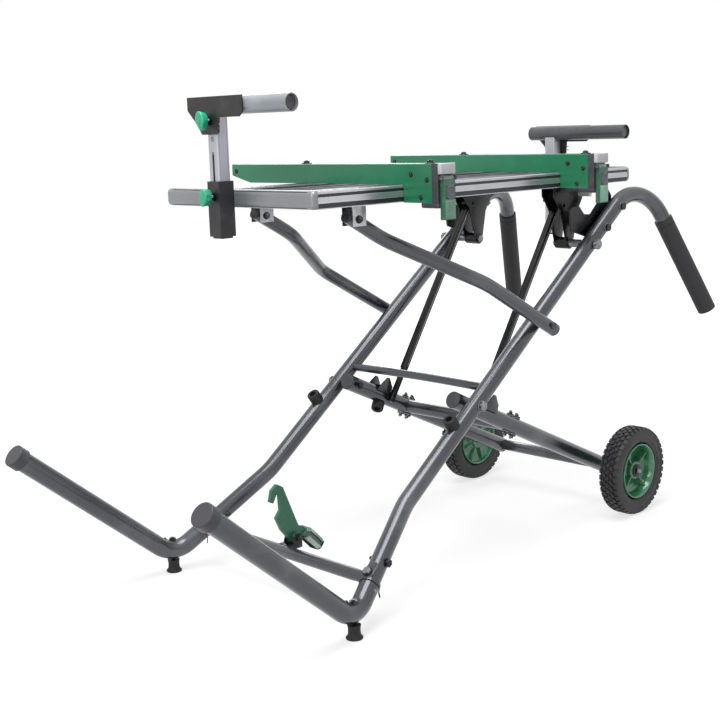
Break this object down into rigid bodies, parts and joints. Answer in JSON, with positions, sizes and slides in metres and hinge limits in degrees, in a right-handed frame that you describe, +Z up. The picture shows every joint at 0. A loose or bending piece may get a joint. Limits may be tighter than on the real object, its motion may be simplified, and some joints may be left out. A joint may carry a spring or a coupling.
{
  "type": "mitre saw stand",
  "caption": "Folding wheeled stand for a mitre saw: tubular legs with handles, sliding saw brackets with clamp levers, and pull-out work supports on posts.",
  "frame": {"origin": "on the floor, under the middle of the stand's bounding box", "axes": "+X along the table towards the handles and wheels, +Y across it towards the rear leg, +Z up"},
  "size_m": [1.5423, 0.6667, 0.962],
  "materials": {
    "tube_grey": "satin metallic",
    "rail_silver": "satin",
    "green_paint": "gloss",
    "green_plastic": "gloss",
    "black_metal": "satin",
    "bolt_steel": "brushed",
    "rubber_black": "matt",
    "tyre_black": "matt",
    "plastic_black": "matt",
    "plastic_grey": "matt",
    "silver_paint": "satin"
  },
  "bodies": {
    "leg_frame": {"leg_tube_front": "tube_grey", "leg_tube_rear": "tube_grey", "foot_tube_front": "tube_grey", "foot_tube_rear": "tube_grey", "foot_caps": "rubber_black", "grips": "rubber_black", "rubber_feet": "rubber_black", "foot_cross_tube": "tube_grey", "leg_cross_bar": "tube_grey", "lock_plates": "black_metal", "leg_bolts": "bolt_steel", "latch_bracket": "tube_grey"},
    "foot_latch": {"foot_latch": "green_paint", "latch_pedal": "green_plastic"},
    "wheel_frame": {"wheel_arm_front": "tube_grey", "wheel_arm_rear": "tube_grey", "arm_caps": "plastic_grey", "axle": "bolt_steel", "arm_cross_tube": "tube_grey", "arm_gussets": "tube_grey", "fold_bumper": "rubber_black", "frame_bolts": "bolt_steel"},
    "wheel_front": {"rim_front": "green_plastic", "tyre_front": "tyre_black"},
    "wheel_rear": {"rim_rear": "green_plastic", "tyre_rear": "tyre_black"},
    "table": {"rail_front": "rail_silver", "rail_rear": "rail_silver", "pivot_brackets": "black_metal", "table_pins": "bolt_steel"},
    "brace_slider": {"brace_sliders": "silver_paint"},
    "brace": {"brace_tube_front": "tube_grey", "brace_tube_rear": "tube_grey", "brace_bolts": "bolt_steel"},
    "link_channel": {"link_channels": "black_metal"},
    "link_bar": {"link_bars": "black_metal"},
    "saw_bracket_left": {"saw_bracket_left": "green_paint", "bracket_trim_left": "plastic_black", "lever_ears_left": "bolt_steel"},
    "clamp_lever_left": {"clamp_lever_left": "green_plastic"},
    "lever_button_left": {"lever_button_left": "plastic_grey"},
    "extension_left": {"extension_left": "rail_silver", "post_socket_left": "black_metal"},
    "post_left": {"post_left": "rail_silver", "support_tube_left": "silver_paint"},
    "stop_plate_left": {"stop_plate_left": "black_metal"},
    "post_knob_left": {"post_knob_left": "green_plastic"},
    "stop_knob_left": {"stop_knob_left": "green_plastic"},
    "saw_bracket_right": {"saw_bracket_right": "green_paint", "bracket_trim_right": "plastic_black", "lever_ears_right": "bolt_steel"},
    "clamp_lever_right": {"clamp_lever_right": "green_plastic"},
    "lever_button_right": {"lever_button_right": "plastic_grey"},
    "extension_right": {"extension_right": "rail_silver", "post_socket_right": "black_metal"},
    "post_right": {"post_right": "rail_silver", "support_tube_right": "silver_paint"},
    "stop_plate_right": {"stop_plate_right": "black_metal"},
    "post_knob_right": {"post_knob_right": "green_plastic"},
    "stop_knob_right": {"stop_knob_right": "green_plastic"}
  },
  "joints": [
    {"name": "table_fold", "type": "hinge", "parent": "leg_frame", "child": "table", "pos_m": [0.39955, -0.0264, 0.63094], "axis": [0, -1, 0], "range_deg": [0, 36.8]},
    {"name": "wheel_frame_fold", "type": "hinge", "parent": "leg_frame", "child": "wheel_frame", "pos_m": [0.00553, -0.0264, 0.34066], "axis": [0, 1, 0], "range_deg": [0, 86]},
    {"name": "brace_slide", "type": "slide", "parent": "table", "child": "brace_slider", "axis": [-1, 0, 0], "range_m": [0, 0.1047]},
    {"name": "brace_turn", "type": "hinge", "parent": "brace_slider", "child": "brace", "pos_m": [-0.25846, -0.0264, 0.731], "axis": [0, -1, 0], "range_deg": [0, 18.34]},
    {"name": "link_turn", "type": "hinge", "parent": "table", "child": "link_channel", "pos_m": [0.37854, -0.0264, 0.715], "axis": [0, 1, 0], "range_deg": [0, 43.12]},
    {"name": "link_slide", "type": "slide", "parent": "link_channel", "child": "link_bar", "axis": [-0.5512, 0, -0.8344], "range_m": [0, 0.0725]},
    {"name": "latch_turn", "type": "hinge", "parent": "leg_frame", "child": "foot_latch", "pos_m": [-0.32125, -0.0264, 0.10681], "axis": [0, 1, 0], "range_deg": [-10, 25]},
    {"name": "wheel_front_spin", "type": "hinge", "parent": "wheel_frame", "child": "wheel_front", "pos_m": [0.51454, -0.2644, 0.1016], "axis": [0, 1, 0], "continuous": true},
    {"name": "wheel_rear_spin", "type": "hinge", "parent": "wheel_frame", "child": "wheel_rear", "pos_m": [0.51454, 0.2116, 0.1016], "axis": [0, 1, 0], "continuous": true},
    {"name": "saw_bracket_left_slide", "type": "slide", "parent": "table", "child": "saw_bracket_left", "axis": [-1, 0, 0], "range_m": [-0.12, 0.12]},
    {"name": "clamp_lever_left_turn", "type": "hinge", "parent": "saw_bracket_left", "child": "clamp_lever_left", "pos_m": [-0.11746, -0.2704, 0.7995], "axis": [-1, 0, 0], "range_deg": [0, 85]},
    {"name": "lever_button_left_press", "type": "slide", "parent": "clamp_lever_left", "child": "lever_button_left", "axis": [0, 1, 0], "range_m": [0, 0.0025], "stiffness_N_per_m": 600},
    {"name": "extension_left_slide", "type": "slide", "parent": "table", "child": "extension_left", "axis": [1, 0, 0], "range_m": [-0.35, 0]},
    {"name": "post_left_slide", "type": "slide", "parent": "extension_left", "child": "post_left", "axis": [0, 0, 1], "range_m": [-0.076, 0.048]},
    {"name": "stop_plate_left_slide", "type": "slide", "parent": "post_left", "child": "stop_plate_left", "axis": [0, 0, 1], "range_m": [-0.01, 0.04]},
    {"name": "post_knob_left_turn", "type": "hinge", "parent": "extension_left", "child": "post_knob_left", "pos_m": [-0.40846, 0.0606, 0.777], "axis": [-1, 0, 0], "continuous": true},
    {"name": "stop_knob_left_turn", "type": "hinge", "parent": "stop_plate_left", "child": "stop_knob_left", "pos_m": [-0.40736, 0.0606, 0.9175], "axis": [-1, 0, 0], "continuous": true},
    {"name": "saw_bracket_right_slide", "type": "slide", "parent": "table", "child": "saw_bracket_right", "axis": [1, 0, 0], "range_m": [-0.12, 0.12]},
    {"name": "clamp_lever_right_turn", "type": "hinge", "parent": "saw_bracket_right", "child": "clamp_lever_right", "pos_m": [0.38254, -0.2704, 0.7995], "axis": [-1, 0, 0], "range_deg": [0, 85]},
    {"name": "lever_button_right_press", "type": "slide", "parent": "clamp_lever_right", "child": "lever_button_right", "axis": [0, 1, 0], "range_m": [0, 0.0025], "stiffness_N_per_m": 600},
    {"name": "extension_right_slide", "type": "slide", "parent": "table", "child": "extension_right", "axis": [-1, 0, 0], "range_m": [-0.35, 0]},
    {"name": "post_right_slide", "type": "slide", "parent": "extension_right", "child": "post_right", "axis": [0, 0, 1], "range_m": [0, 0.124]},
    {"name": "stop_plate_right_slide", "type": "slide", "parent": "post_right", "child": "stop_plate_right", "axis": [0, 0, 1], "range_m": [-0.01, 0.04]},
    {"name": "post_knob_right_turn", "type": "hinge", "parent": "extension_right", "child": "post_knob_right", "pos_m": [0.67354, 0.0606, 0.777], "axis": [1, 0, 0], "continuous": true},
    {"name": "stop_knob_right_turn", "type": "hinge", "parent": "stop_plate_right", "child": "stop_knob_right", "pos_m": [0.67244, 0.0606, 0.8415], "axis": [1, 0, 0], "continuous": true}
  ],
  "couplings": [
    {"joint": "wheel_frame_fold", "follows": "table_fold", "ratio": 2.3098},
    {"joint": "brace_slide", "follows": "table_fold", "m_per_rad": 0.16146},
    {"joint": "brace_turn", "follows": "table_fold", "ratio": 0.48469},
    {"joint": "link_turn", "follows": "table_fold", "ratio": 1.158},
    {"joint": "link_slide", "follows": "table_fold", "m_per_rad": 0.11128}
  ]
}
